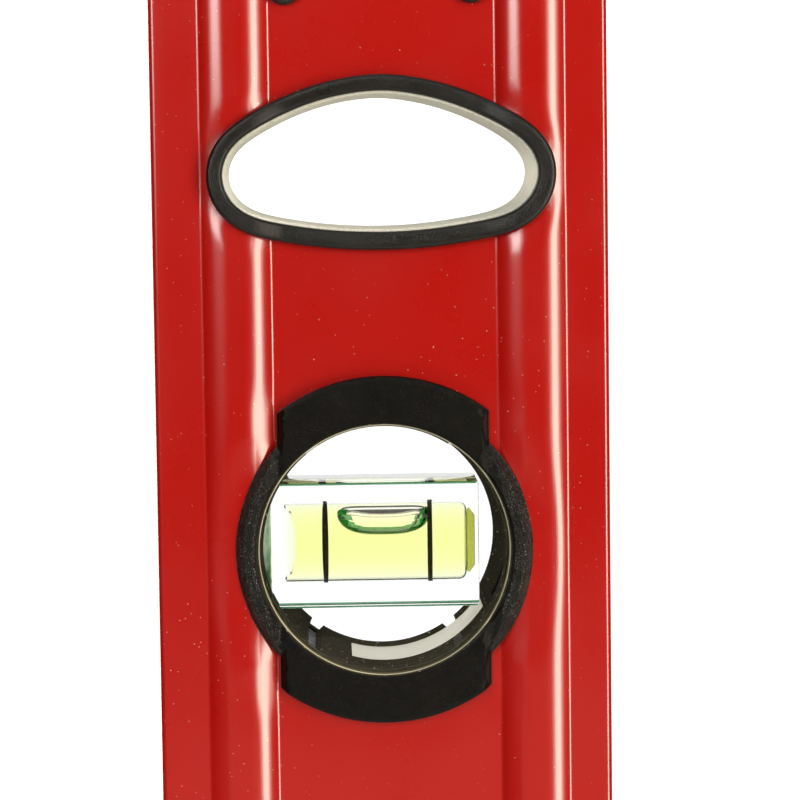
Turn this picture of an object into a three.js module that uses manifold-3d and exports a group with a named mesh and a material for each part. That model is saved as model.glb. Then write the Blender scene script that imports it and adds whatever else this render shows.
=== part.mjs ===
// Box-section spirit level, standing upright on its lower end cap.
// Millimetres. +Z runs along the level, +X across its height (the measuring edge is -X, the top edge +X),
// +Y through its thickness. The origin is the middle of the lower end cap's bottom face.
import * as THREE from 'three';
import { mergeVertices } from 'three/addons/utils/BufferGeometryUtils.js';
import Module from 'manifold-3d';

const wasm = await Module();
wasm.setup();

// ---- driving dimensions -------------------------------------------------------------------------------------
const LENGTH = 400;            // overall, end cap to end cap
const HEIGHT = 60;             // across the section, measuring edge to top edge
const CAP_PLATE = 8;           // end cap outside the profile
const GAP = 0.3;               // clearance between neighbouring pieces

const RIDGE_TOP = 12.0;        // half thickness over the ridges
const RAIL = 10.8;             // half thickness at the rails along both edges
const WEB = 10.4;              // half thickness at the recessed web
const WALL = 1.8;
const RIDGE_IN0 = 14.4;        // ridge, from the web ...
const RIDGE_IN1 = 17.6;
const RIDGE_OUT0 = 21.2;
const RIDGE_OUT1 = 24.2;       // ... to the rail
const CORNER_R = 0.8;

const HOLE_Z = 362.6;          // hang hole centre (the lower one mirrors it)
const RIM_W = 2.3;             // width of the hang hole's rim
const RIM_PROUD = 0.9;         // rim above the ridges
const PLUMB_Z = 311.4;         // plumb vial centre (the lower one mirrors it)
const LEVEL_Z = LENGTH / 2;    // level vial centre
const LEVEL_X = 12;            // level vial axis, nearer the top edge

const RING_R = 19.8;           // plumb surround: ring
const SHOULDER_R = 23.0;       // plumb surround: arc of the two shoulders
const SHOULDER_X = 14.0;       // plumb surround: half width of the shoulders
const LIP_R = 16.7;            // plumb surround: opening at the lip
const BORE_R = 15.9;           // plumb surround: wall behind the lens
const LENS_R = 17.6;
const LENS_T = 1.2;
const LENS_Y = 9.2;            // inner face of each lens
const SURROUND_PROUD = 1.0;

const BLOCK_H = 16.8;          // vial block across
const BLOCK_D = 11.6;          // vial block through the thickness
const BLOCK_X0 = -16.2;        // plumb vial block: end held in the surround ...
const BLOCK_X1 = 12.75;        // ... and free end with the plug
const VIAL_R = 5.25;           // drilled bore
const FLUID_R = 4.65;
const MARK_W = 0.55;
const LEVEL_BLOCK_L = 57;

// ---- helpers ------------------------------------------------------------------------------------------------
function toSolid(geometry) {
  const g = geometry.clone();
  g.deleteAttribute('normal');
  g.deleteAttribute('uv');
  const m = mergeVertices(g, 1e-4);
  const index = m.index ? Uint32Array.from(m.index.array) : Uint32Array.from({ length: m.attributes.position.count }, (_, i) => i);
  return new wasm.Manifold(new wasm.Mesh({ numProp: 3, vertProperties: Float32Array.from(m.attributes.position.array), triVerts: index }));
}
function toGeometry(solid) {
  const m = solid.getMesh();
  const g = new THREE.BufferGeometry();
  const n = m.vertProperties.length / m.numProp;
  const p = new Float32Array(n * 3);
  for (let i = 0; i < n; i++) for (let k = 0; k < 3; k++) p[3 * i + k] = m.vertProperties[m.numProp * i + k];
  g.setAttribute('position', new THREE.BufferAttribute(p, 3));
  g.setIndex(Array.from(m.triVerts));
  g.computeVertexNormals();
  return g;
}
const shapeOf = (pts, holes = []) => {
  const s = new THREE.Shape(pts.map((p) => new THREE.Vector2(p[0], p[1])));
  for (const h of holes) s.holes.push(new THREE.Path(h.map((p) => new THREE.Vector2(p[0], p[1]))));
  return s;
};
// prism along Z of an outline in (x, y)
const prismZ = (pts, z0, z1, holes = []) => {
  const g = new THREE.ExtrudeGeometry(shapeOf(pts, holes), { depth: z1 - z0, bevelEnabled: false });
  g.translate(0, 0, z0);
  return toSolid(g);
};
// prism along Y of an outline in (x, z)
const prismY = (pts, y0, y1, holes = []) => {
  const g = new THREE.ExtrudeGeometry(shapeOf(pts, holes), { depth: y1 - y0, bevelEnabled: false });
  g.rotateX(Math.PI / 2);
  g.translate(0, y1, 0);
  return toSolid(g);
};
const boxSolid = (x0, x1, y0, y1, z0, z1) => {
  const g = new THREE.BoxGeometry(x1 - x0, y1 - y0, z1 - z0);
  g.translate((x0 + x1) / 2, (y0 + y1) / 2, (z0 + z1) / 2);
  return toSolid(g);
};
// solid of revolution about the local Y axis from [radius, y] pairs
const lathe = (profile, segments) => toSolid(new THREE.LatheGeometry(profile.map((p) => new THREE.Vector2(p[0], p[1])), segments));
function circle(r, n, cx = 0, cy = 0) {
  return Array.from({ length: n }, (_, i) => [cx + r * Math.cos((2 * Math.PI * i) / n), cy + r * Math.sin((2 * Math.PI * i) / n)]);
}
function roundedRect(hx, hy, r, n = 5, cx = 0, cy = 0) {
  const out = [];
  for (const [sx, sy, a0] of [[1, 1, 0], [-1, 1, 90], [-1, -1, 180], [1, -1, 270]]) {
    for (let i = 0; i <= n; i++) {
      const a = ((a0 + (90 * i) / n) * Math.PI) / 180;
      out.push([cx + sx * (hx - r) + r * Math.cos(a), cy + sy * (hy - r) + r * Math.sin(a)]);
    }
  }
  return out;
}
// moves every point of a closed counter-clockwise outline outward by d
function offset(pts, d) {
  return pts.map((p, i) => {
    const a = pts[(i + pts.length - 1) % pts.length];
    const b = pts[(i + 1) % pts.length];
    const tx = b[0] - a[0];
    const ty = b[1] - a[1];
    const l = Math.hypot(tx, ty);
    return [p[0] + (d * ty) / l, p[1] - (d * tx) / l];
  });
}
const material = (color, roughness, metalness = 0, opacity = 1) =>
  new THREE.MeshStandardMaterial({ color, roughness, metalness, opacity, transparent: opacity < 1 });
function piece(parent, name, solid, mat) {
  const mesh = new THREE.Mesh(toGeometry(solid), mat);
  mesh.name = name;
  parent.add(mesh);
  return mesh;
}
const RED = () => material(0xb8251b, 0.35, 0.1);
const BLACK = () => material(0x1d1b19, 0.55);
const CREAM = () => material(0xcfccc0, 0.6);
const CLEAR = () => material(0xe6f2ea, 0.05, 0, 0.3);
const FLUID = () => material(0xe4f25a, 0.1, 0, 0.6);
const AIR = () => material(0xf4ffe0, 0.05, 0, 0.4);
const MARK = () => material(0x15150f, 0.5);

// ---- the section --------------------------------------------------------------------------------------------
const smooth = (t) => t * t * (3 - 2 * t);
// half thickness at a distance x from the centre line, less inset
function halfThickness(x) {
  const a = Math.abs(x);
  if (a <= RIDGE_IN0) return WEB;
  if (a < RIDGE_IN1) return WEB + (RIDGE_TOP - WEB) * smooth((a - RIDGE_IN0) / (RIDGE_IN1 - RIDGE_IN0));
  if (a <= RIDGE_OUT0) return RIDGE_TOP;
  if (a < RIDGE_OUT1) return RAIL + (RIDGE_TOP - RAIL) * smooth((RIDGE_OUT1 - a) / (RIDGE_OUT1 - RIDGE_OUT0));
  return RAIL;
}
function ridgeStations() {
  const xs = [RIDGE_IN0];
  for (let i = 1; i < 4; i++) xs.push(RIDGE_IN0 + ((RIDGE_IN1 - RIDGE_IN0) * i) / 4);
  xs.push(RIDGE_IN1, RIDGE_OUT0);
  for (let i = 1; i < 4; i++) xs.push(RIDGE_OUT0 + ((RIDGE_OUT1 - RIDGE_OUT0) * i) / 4);
  xs.push(RIDGE_OUT1);
  return xs;
}
function sectionOutline() {
  const xs = ridgeStations();
  const half = HEIGHT / 2;
  const corner = [];
  for (let i = 0; i <= 4; i++) {
    const a = (Math.PI / 2) * (i / 4);
    corner.push([half - CORNER_R + CORNER_R * Math.sin(a), RAIL - CORNER_R + CORNER_R * Math.cos(a)]);
  }
  // front right quarter, from the centre line out to the edge, then mirrored
  const q = [...xs.map((x) => [x, halfThickness(x)]), ...corner];
  const front = [...q.slice().reverse().map(([x, y]) => [-x, -y]), ...q.map(([x, y]) => [x, -y])];
  const back = front.slice().reverse().map(([x, y]) => [x, -y]);
  return [...front, ...back];
}
function sectionHollow() {
  const xs = ridgeStations();
  const end = HEIGHT / 2 - WALL;
  const q = [...xs.map((x) => [x, halfThickness(x) - WALL]), [end - 0.6, RAIL - WALL], [end, RAIL - WALL - 0.6]];
  const front = [...q.slice().reverse().map(([x, y]) => [-x, -y]), ...q.map(([x, y]) => [x, -y])];
  const back = front.slice().reverse().map(([x, y]) => [x, -y]);
  return [...front, ...back];
}

// ---- hang hole outline: a flattened eye, wide apex towards the near end of the level --------------------------
const HOLE_HALF = [
  [0, 9.05], [2.2, 8.9], [4.8, 8.46], [7.4, 7.86], [11.0, 6.7], [14.2, 5.36], [17.05, 3.8], [18.95, 2.5], [20.45, 0.95],
  [21.05, -0.9], [21.05, -2.6], [20.5, -4.15], [19.35, -5.7], [17.65, -6.9], [15.35, -7.68], [10.5, -8.55], [6.0, -9.15], [0, -9.4],
];
function holeOutline(samples) {
  const left = HOLE_HALF.map(([x, y]) => [-x, y]);
  const right = HOLE_HALF.slice(1, -1).reverse().map(([x, y]) => [x, y]);
  const curve = new THREE.CatmullRomCurve3([...left, ...right].map(([x, y]) => new THREE.Vector3(x, y, 0)), true, 'centripetal');
  return curve.getSpacedPoints(samples).slice(0, samples).map((v) => [v.x, v.y]);
}
const HOLE = holeOutline(38);
const RIM_OUTER = RIDGE_TOP + RIM_PROUD;

// ---- plumb surround outline -----------------------------------------------------------------------------------
function surroundSolid(grow, y0, y1) {
  const ring = prismY(circle(RING_R + grow, 44), y0, y1);
  const arc = prismY(circle(SHOULDER_R + grow, 56), y0, y1);
  const strip = boxSolid(-SHOULDER_X - grow, SHOULDER_X + grow, y0 - 1, y1 + 1, -40, 40);
  return ring.add(arc.intersect(strip));
}

const level = new THREE.Group();
const at = (z, flip = false) => {
  const g = new THREE.Group();
  g.position.z = z;
  if (flip) g.rotation.y = Math.PI;
  level.add(g);
  return g;
};

// ---- profile --------------------------------------------------------------------------------------------------
{
  let body = prismZ(sectionOutline(), CAP_PLATE + GAP, LENGTH - CAP_PLATE - GAP, [sectionHollow()]);
  const holeCut = prismY(offset(HOLE, RIM_W + GAP), -20, 20);
  body = body.subtract(holeCut.translate([0, 0, HOLE_Z]));
  body = body.subtract(holeCut.mirror([0, 0, 1]).translate([0, 0, LENGTH - HOLE_Z]));
  const vialCut = surroundSolid(GAP, -20, 20);
  body = body.subtract(vialCut.translate([0, 0, PLUMB_Z]));
  body = body.subtract(vialCut.translate([0, 0, LENGTH - PLUMB_Z]));
  body = body.subtract(prismY(roundedRect(13 + GAP, 33 + GAP, 9, 6, LEVEL_X, LEVEL_Z), -20, 20));
  body = body.subtract(boxSolid(HEIGHT / 2 - 5, HEIGHT / 2 + 5, -6.6, 6.6, LEVEL_Z - 23, LEVEL_Z + 23));
  piece(level, 'profile', body, RED());
}

// ---- end caps: rounded plate, plug in the hollow, two lobes down each recessed face -----------------------------
function endCap() {
  const bevel = 1.5;
  const plate = new THREE.ExtrudeGeometry(shapeOf(roundedRect(HEIGHT / 2 - bevel, RIDGE_TOP - bevel, 1.6, 4)), {
    depth: CAP_PLATE - 2 * bevel, bevelEnabled: true, bevelThickness: bevel, bevelSize: bevel, bevelSegments: 3,
  });
  plate.translate(0, 0, bevel);
  let cap = toSolid(plate);
  const plug = prismZ(roundedRect(27.4, 8.0, 1.5, 2), CAP_PLATE - 1, CAP_PLATE + 12)
    .subtract(prismZ(roundedRect(24.6, 5.2, 1.2, 2), CAP_PLATE + 2, CAP_PLATE + 13));
  cap = cap.add(plug);
  for (const sx of [-1, 1]) {
    const lobe = [];
    for (let i = 0; i <= 10; i++) {
      const a = Math.PI * (i / 10);
      lobe.push([sx * 12.2 + 2.4 * Math.cos(a), 14.6 + 2.4 * Math.sin(a)]);
    }
    lobe.push([sx * 12.2 - 2.4, 5], [sx * 12.2 + 2.4, 5]);
    cap = cap.add(prismY(lobe, -11.9, -WEB - GAP)).add(prismY(lobe, WEB + GAP, 11.9));
  }
  return cap;
}
{
  const cap = endCap();
  piece(level, 'lower_end_cap', cap, BLACK());
  piece(at(LENGTH, true), 'upper_end_cap', cap, BLACK());
}

// ---- hang holes: a rim on each face and a pale sleeve through the hollow ----------------------------------------
function rimSolid(front) {
  // a bead with rounded shoulders, made of three stacked rings of narrowing width
  const s = front ? -1 : 1;
  const ring = (inner, outer, a, b) => {
    const y0 = Math.min(s * a, s * b);
    return prismY(offset(HOLE, outer), y0, y0 + Math.abs(b - a), [offset(HOLE, inner)]);
  };
  return ring(0, RIM_W, 8.0, RIM_OUTER - 0.6).add(ring(0.35, RIM_W - 0.45, 9, RIM_OUTER));
}
for (const [name, z, sign] of [['upper', HOLE_Z, 1], ['lower', LENGTH - HOLE_Z, -1]]) {
  const g = at(z);
  const put = (s) => (sign > 0 ? s : s.mirror([0, 0, 1]));
  piece(g, `${name}_hole_front_rim`, put(rimSolid(true)), BLACK());
  piece(g, `${name}_hole_back_rim`, put(rimSolid(false)), BLACK());
  piece(g, `${name}_hole_sleeve`, put(prismY(offset(HOLE, 1.5), -8.0 + GAP, 8.0 - GAP, [HOLE])), CREAM());
}

// ---- plumb vials ------------------------------------------------------------------------------------------------
const FLUID_X0 = -13.3;        // drilled end of the bore
const FLUID_X1 = 11.2;         // inner end of the plug
const MARK_X = [-8.2, 6.3];
const BUBBLE_X = -0.2;
const BUBBLE = [12.3, 7.4, 3.5];

function cylinderX(r, x0, x1, n, taper = 0, taperEnd = 1) {
  const pts = [[0, x0]];
  pts.push([taperEnd < 0 ? r - taper : r, x0]);
  if (taper && taperEnd < 0) pts.push([r, x0 + taper]);
  if (taper && taperEnd > 0) pts.push([r, x1 - taper]);
  pts.push([taperEnd > 0 ? r - taper : r, x1], [0, x1]);
  return lathe(pts, n).rotate([0, 0, -90]);
}
function ringX(rIn, rOut, x0, x1, n) {
  return lathe([[rIn, x0], [rOut, x0], [rOut, x1], [rIn, x1], [rIn, x0]], n).rotate([0, 0, -90]);
}
function ellipsoid(sx, sy, sz, nu, nv) {
  const g = new THREE.SphereGeometry(0.5, nu, nv);
  g.rotateZ(-Math.PI / 2);
  g.scale(sx, sy, sz);
  return toSolid(g);
}
// capsule-like channel that the bubble runs in, a bubble's section long x wide y x high z
function channel(len, wide, high) {
  const n = 14;
  const pts = [];
  for (let i = 0; i < n; i++) pts.push([(wide / 2) * Math.cos((2 * Math.PI * i) / n), (high / 2) * Math.sin((2 * Math.PI * i) / n)]);
  const g = new THREE.ExtrudeGeometry(shapeOf(pts), { depth: len, bevelEnabled: false });
  g.translate(0, 0, -len / 2);
  return toSolid(g);                                    // long axis along Z, width along X, height along Y
}

function plumbSurround(front) {
  const s = front ? -1 : 1;
  const yOut = RIDGE_TOP + SURROUND_PROUD;
  // the ring stands proud, the shoulders lie in the recessed web
  const y0 = front ? -yOut : GAP / 2;
  const y1 = front ? -GAP / 2 : yOut;
  let body = prismY(circle(RING_R, 44), y0, y1);
  const shY0 = front ? -(WEB + 1.8) : GAP / 2;
  const shY1 = front ? -GAP / 2 : WEB + 1.8;
  body = body.add(prismY(circle(SHOULDER_R, 56), shY0, shY1).intersect(boxSolid(-SHOULDER_X, SHOULDER_X, -20, 20, -40, 40)));
  // lip, lens seat, and the wall behind it
  const seat = [[0, 20], [LIP_R + 0.8, 20], [LIP_R + 0.8, yOut], [LIP_R, yOut - 0.8], [LIP_R, LENS_Y + LENS_T + GAP], [LENS_R + GAP, LENS_Y + LENS_T + GAP],
    [LENS_R + GAP, LENS_Y - GAP], [BORE_R, LENS_Y - GAP], [BORE_R, -1], [0, -1]];
  let cut = toSolid(new THREE.LatheGeometry(seat.slice().reverse().map((p) => new THREE.Vector2(p[0], p[1])), 40));
  if (s < 0) cut = cut.rotate([180, 0, 0]);
  body = body.subtract(cut);
  body = body.subtract(boxSolid(BLOCK_X0 - GAP, BLOCK_X1 + GAP, -BLOCK_D / 2 - GAP, BLOCK_D / 2 + GAP, -BLOCK_H / 2 - GAP, BLOCK_H / 2 + GAP));
  return body;
}
function lens(front) {
  const c = lathe([[0, LENS_Y], [LENS_R, LENS_Y], [LENS_R, LENS_Y + LENS_T], [0, LENS_Y + LENS_T]], 32);
  return front ? c.rotate([180, 0, 0]) : c;
}
for (const [name, z] of [['upper_plumb', PLUMB_Z], ['lower_plumb', LENGTH - PLUMB_Z]]) {
  const g = at(z);
  piece(g, `${name}_front_surround`, plumbSurround(true), BLACK());
  piece(g, `${name}_back_surround`, plumbSurround(false), BLACK());
  piece(g, `${name}_front_lens`, lens(true), CLEAR());
  piece(g, `${name}_back_lens`, lens(false), CLEAR());
  const bore = cylinderX(VIAL_R, FLUID_X0 - GAP, BLOCK_X1 + 1, 24);
  piece(g, `${name}_vial_block`, boxSolid(BLOCK_X0, BLOCK_X1, -BLOCK_D / 2, BLOCK_D / 2, -BLOCK_H / 2, BLOCK_H / 2).subtract(bore), CLEAR());
  piece(g, `${name}_vial_plug`, cylinderX(VIAL_R - 0.25, FLUID_X1 + GAP, BLOCK_X1 - 0.3, 20, 0.6), material(0xc9d64a, 0.3));
  const zb = FLUID_R - 0.35 - BUBBLE[2] / 2;
  const run = channel(FLUID_X1 - FLUID_X0 - 0.8, BUBBLE[1] + 0.5, BUBBLE[2] + 0.5).rotate([90, 0, 90]).translate([(FLUID_X0 + FLUID_X1) / 2, 0, zb]);
  const fluid = cylinderX(FLUID_R, FLUID_X0, FLUID_X1, 24).subtract(run);
  piece(g, `${name}_fluid`, fluid, FLUID());
  piece(g, `${name}_bubble`, ellipsoid(...BUBBLE, 16, 10).translate([BUBBLE_X, 0, zb]), AIR());
  MARK_X.forEach((x, i) => {
    piece(g, `${name}_marker_ring_${i + 1}`, ringX(FLUID_R + 0.15, VIAL_R - 0.12, x - MARK_W / 2, x + MARK_W / 2, 24), MARK());
  });
}

// ---- level vial, lying along the level, read from both faces and from the top edge --------------------------------
{
  const g = at(LEVEL_Z);
  const yOut = RIDGE_TOP + SURROUND_PROUD;
  const outer = roundedRect(13, 33, 9, 6, LEVEL_X, 0);
  const lip = roundedRect(8.6, 25.6, 5, 5, LEVEL_X, 0);
  const seat = roundedRect(9.6, 26.6, 6, 5, LEVEL_X, 0);
  const inside = roundedRect(8.2, 25.2, 4.6, 5, LEVEL_X, 0);
  const lensShape = roundedRect(9.6 - GAP, 26.6 - GAP, 6 - GAP, 5, LEVEL_X, 0);
  const surround = (s) => {
    const span = (a, b) => (s < 0 ? [-b, -a] : [a, b]);
    let b = prismY(outer, ...span(GAP / 2, yOut));
    b = b.subtract(prismY(lip, ...span(LENS_Y, yOut + 1)));
    b = b.subtract(prismY(seat, ...span(LENS_Y - GAP, LENS_Y + LENS_T + GAP)));
    b = b.subtract(prismY(inside, ...span(-1, LENS_Y)));
    b = b.subtract(boxSolid(LEVEL_X - BLOCK_H / 2 - GAP, LEVEL_X + BLOCK_H / 2 + GAP, -BLOCK_D / 2 - GAP, BLOCK_D / 2 + GAP,
      -LEVEL_BLOCK_L / 2 - GAP, LEVEL_BLOCK_L / 2 + GAP));
    b = b.subtract(boxSolid(LEVEL_X, LEVEL_X + 20, -5.4, 5.4, -21, 21));
    return b;
  };
  piece(g, 'level_front_surround', surround(-1), BLACK());
  piece(g, 'level_back_surround', surround(1), BLACK());
  piece(g, 'level_front_lens', prismY(lensShape, -LENS_Y - LENS_T, -LENS_Y), CLEAR());
  piece(g, 'level_back_lens', prismY(lensShape, LENS_Y, LENS_Y + LENS_T), CLEAR());
  // clear plate let into the top edge, with a flange behind the wall
  const plate = boxSolid(HEIGHT / 2 - WALL - 1.0, HEIGHT / 2 - 0.2, -6.3, 6.3, -22.7, 22.7);
  const flange = boxSolid(HEIGHT / 2 - WALL - 1.4, HEIGHT / 2 - WALL - 0.3, -8.0, 8.0, -25, 25).add(plate);
  piece(g, 'level_edge_lens', flange, CLEAR());

  const alongZ = (s) => s.rotate([0, -90, 0]).translate([LEVEL_X, 0, 0]);   // local +X becomes +Z
  const z0 = -24.5;
  const z1 = 20.5;
  const bubble = [18, 7.4, 3.6];
  const xb = FLUID_R - 0.35 - bubble[2] / 2;
  const block = boxSolid(LEVEL_X - BLOCK_H / 2, LEVEL_X + BLOCK_H / 2, -BLOCK_D / 2, BLOCK_D / 2, -LEVEL_BLOCK_L / 2, LEVEL_BLOCK_L / 2);
  piece(g, 'level_vial_block', block.subtract(alongZ(cylinderX(VIAL_R, z0 - GAP, LEVEL_BLOCK_L / 2 + 1, 24))), CLEAR());
  piece(g, 'level_vial_plug', alongZ(cylinderX(VIAL_R - 0.25, z1 + GAP, LEVEL_BLOCK_L / 2 - 0.4, 20, 0.8, -1)), material(0xc9d64a, 0.3));
  const run = channel(z1 - z0 - 0.8, bubble[1] + 0.5, bubble[2] + 0.5).rotate([0, 0, 90]).translate([LEVEL_X + xb, 0, (z0 + z1) / 2]);
  piece(g, 'level_fluid', alongZ(cylinderX(FLUID_R, z0, z1, 24)).subtract(run), FLUID());
  const b = toSolid(new THREE.SphereGeometry(0.5, 16, 10).scale(bubble[2], bubble[0], bubble[1]).rotateX(Math.PI / 2));
  piece(g, 'level_bubble', b.translate([LEVEL_X + xb, 0, z1 - 0.8 - bubble[0] / 2]), AIR());
  [-10.2, 10.2].forEach((z, i) => {
    piece(g, `level_marker_ring_${i + 1}`, alongZ(ringX(FLUID_R + 0.15, VIAL_R - 0.12, z - 2 - MARK_W / 2, z - 2 + MARK_W / 2, 24)), MARK());
  });
}

export default level;
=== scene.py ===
import math

import bpy
import bmesh
import numpy as np
from mathutils import Vector, Matrix


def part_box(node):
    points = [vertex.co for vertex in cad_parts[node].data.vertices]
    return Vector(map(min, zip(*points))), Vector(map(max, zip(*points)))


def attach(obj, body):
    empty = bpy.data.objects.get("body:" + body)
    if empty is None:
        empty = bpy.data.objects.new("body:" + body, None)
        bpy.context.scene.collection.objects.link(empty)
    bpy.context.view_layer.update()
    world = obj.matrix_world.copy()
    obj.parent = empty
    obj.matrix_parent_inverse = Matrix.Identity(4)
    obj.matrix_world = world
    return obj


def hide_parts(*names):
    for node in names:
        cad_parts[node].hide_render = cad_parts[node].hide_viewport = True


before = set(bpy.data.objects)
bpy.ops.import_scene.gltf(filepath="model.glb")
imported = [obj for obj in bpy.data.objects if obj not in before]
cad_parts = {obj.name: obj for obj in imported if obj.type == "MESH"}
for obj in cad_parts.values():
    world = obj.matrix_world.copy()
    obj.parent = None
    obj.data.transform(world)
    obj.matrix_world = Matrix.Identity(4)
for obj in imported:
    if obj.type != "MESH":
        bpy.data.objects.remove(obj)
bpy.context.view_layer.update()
MM = 0.001
scene = bpy.context.scene

# ---- places, all from the frame (millimetres from here on) -----------------------------------------------------
def cad(node):
    lo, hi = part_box(node)
    return [c / MM for c in lo], [c / MM for c in hi]

def mid(node):
    lo, hi = cad(node)
    return [(a + b) / 2 for a, b in zip(lo, hi)]

LENGTH = cad("upper_end_cap")[1][2]
HALF_H = cad("profile")[1][0]
RIDGE = cad("profile")[1][1]
PROFILE_Z = (cad("profile")[0][2], cad("profile")[1][2])
PLUMB_Z = {"upper": mid("upper_plumb_front_lens")[2], "lower": mid("lower_plumb_front_lens")[2]}
LEVEL_X, LEVEL_Z = mid("level_front_lens")[0], mid("level_front_lens")[2]
RAIL, WEB = RIDGE - 1.2, RIDGE - 1.6
ARC_R = 6.0
SHIFT = 0.45
IN_CREASE, OUT_CREASE = 14.5, 24.2
SURR_Y = -cad("upper_plumb_front_surround")[0][1]
RIM_Y = -cad("upper_hole_front_rim")[0][1]

# ---- camera ------------------------------------------------------------------------------------------------------
def make_camera():
    f_px, dist, yaw, pitch, roll = 2893.7, 380.0, 0.0259, 0.0777, -0.0131
    aim = Vector((2.25, -12.0, PLUMB_Z["upper"] + 19.87))
    d = Vector((math.sin(yaw) * math.cos(pitch), math.cos(yaw) * math.cos(pitch), -math.sin(pitch)))
    r = d.cross(Vector((0, 0, 1))).normalized()
    u = r.cross(d)
    r2 = r * math.cos(roll) + u * math.sin(roll)
    u2 = -r * math.sin(roll) + u * math.cos(roll)
    loc = (aim - d * dist) * MM
    cam_data = bpy.data.cameras.new("camera")
    cam = bpy.data.objects.new("camera", cam_data)
    scene.collection.objects.link(cam)
    m = Matrix((r2, u2, -d)).transposed().to_4x4()
    m.translation = loc
    cam.matrix_world = m
    cam_data.sensor_width = 36.0
    cam_data.lens = f_px * 36.0 / 800.0
    cam_data.clip_start, cam_data.clip_end = 0.01, 50.0
    scene.camera = cam
    return cam

make_camera()
scene.view_settings.view_transform = "Standard"
scene.view_settings.look = "None"
scene.view_settings.exposure = 0.0
scene.cycles.max_bounces = 20
scene.cycles.transmission_bounces = 20
scene.cycles.glossy_bounces = 6
scene.cycles.diffuse_bounces = 3
scene.cycles.transparent_max_bounces = 16
scene.cycles.caustics_reflective = False
scene.cycles.sample_clamp_indirect = 2.0
scene.cycles.caustics_refractive = True

# ---- material helpers --------------------------------------------------------------------------------------------
class Mat:
    def __init__(self, name):
        self.m = bpy.data.materials.new(name)
        self.m.use_nodes = True
        self.nt = self.m.node_tree
        self.bsdf = next(n for n in self.nt.nodes if n.type == "BSDF_PRINCIPLED")
        self.out = next(n for n in self.nt.nodes if n.type == "OUTPUT_MATERIAL")
        self.coord = self.nt.nodes.new("ShaderNodeTexCoord").outputs["Object"]

    def set(self, **kw):
        for k, v in kw.items():
            self.bsdf.inputs[k.replace("_", " ")].default_value = v
        return self

    def node(self, kind, **kw):
        n = self.nt.nodes.new(kind)
        for k, v in kw.items():
            setattr(n, k, v)
        return n

    def link(self, a, b):
        self.nt.links.new(a, b)

    def noise(self, scale, detail=2.0, rough=0.5, stretch=None):
        n = self.node("ShaderNodeTexNoise")
        n.inputs["Scale"].default_value = scale
        n.inputs["Detail"].default_value = detail
        n.inputs["Roughness"].default_value = rough
        src = self.coord
        if stretch:
            mp = self.node("ShaderNodeMapping")
            mp.inputs["Scale"].default_value = stretch
            self.link(self.coord, mp.inputs["Vector"])
            src = mp.outputs["Vector"]
        self.link(src, n.inputs["Vector"])
        return n.outputs["Fac"]

    def voronoi(self, scale, feature="F1", rnd=1.0):
        n = self.node("ShaderNodeTexVoronoi", feature=feature)
        n.inputs["Scale"].default_value = scale
        n.inputs["Randomness"].default_value = rnd
        self.link(self.coord, n.inputs["Vector"])
        return n

    def ramp(self, fac, stops, interp="LINEAR"):
        n = self.node("ShaderNodeValToRGB")
        n.color_ramp.interpolation = interp
        el = n.color_ramp.elements
        while len(el) < len(stops):
            el.new(0.5)
        for e, (p, c) in zip(el, stops):
            e.position = p
            e.color = (*c, 1) if not isinstance(c, (int, float)) else (c, c, c, 1)
        self.link(fac, n.inputs["Fac"])
        return n.outputs["Color"]

    def math(self, op, a, b=None, clamp=False):
        n = self.node("ShaderNodeMath", operation=op, use_clamp=clamp)
        for i, v in enumerate((a, b)):
            if v is None:
                continue
            if isinstance(v, (int, float)):
                n.inputs[i].default_value = v
            else:
                self.link(v, n.inputs[i])
        return n.outputs[0]

    def mix(self, fac, a, b):
        n = self.node("ShaderNodeMix", data_type="RGBA")
        for s, v in (("Factor", fac), ("A", a), ("B", b)):
            i = next(x for x in n.inputs if x.name == s and (x.type == "RGBA" if s != "Factor" else x.type == "VALUE"))
            if isinstance(v, tuple):
                i.default_value = (*v, 1)
            elif isinstance(v, (int, float)):
                i.default_value = v
            else:
                self.link(v, i)
        return next(x for x in n.outputs if x.type == "RGBA")

    def bump(self, height, strength, dist, prev=None):
        n = self.node("ShaderNodeBump")
        n.inputs["Strength"].default_value = strength
        n.inputs["Distance"].default_value = dist
        self.link(height, n.inputs["Height"])
        if prev is not None:
            self.link(prev, n.inputs["Normal"])
        return n.outputs["Normal"]

    def color(self, sock):
        self.link(sock, self.bsdf.inputs["Base Color"])

    def rough(self, sock):
        self.link(sock, self.bsdf.inputs["Roughness"])

    def normal(self, sock):
        self.link(sock, self.bsdf.inputs["Normal"])


def specks(mt, scale, size, share):
    """A mask of small round specks: share of the cells have one."""
    v = mt.voronoi(scale)
    near = mt.math("LESS_THAN", v.outputs["Distance"], size)
    sep = mt.node("ShaderNodeSeparateColor")
    mt.link(v.outputs["Color"], sep.inputs[0])
    pick = mt.math("LESS_THAN", sep.outputs[0], share)
    return mt.math("MULTIPLY", near, pick)


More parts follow.
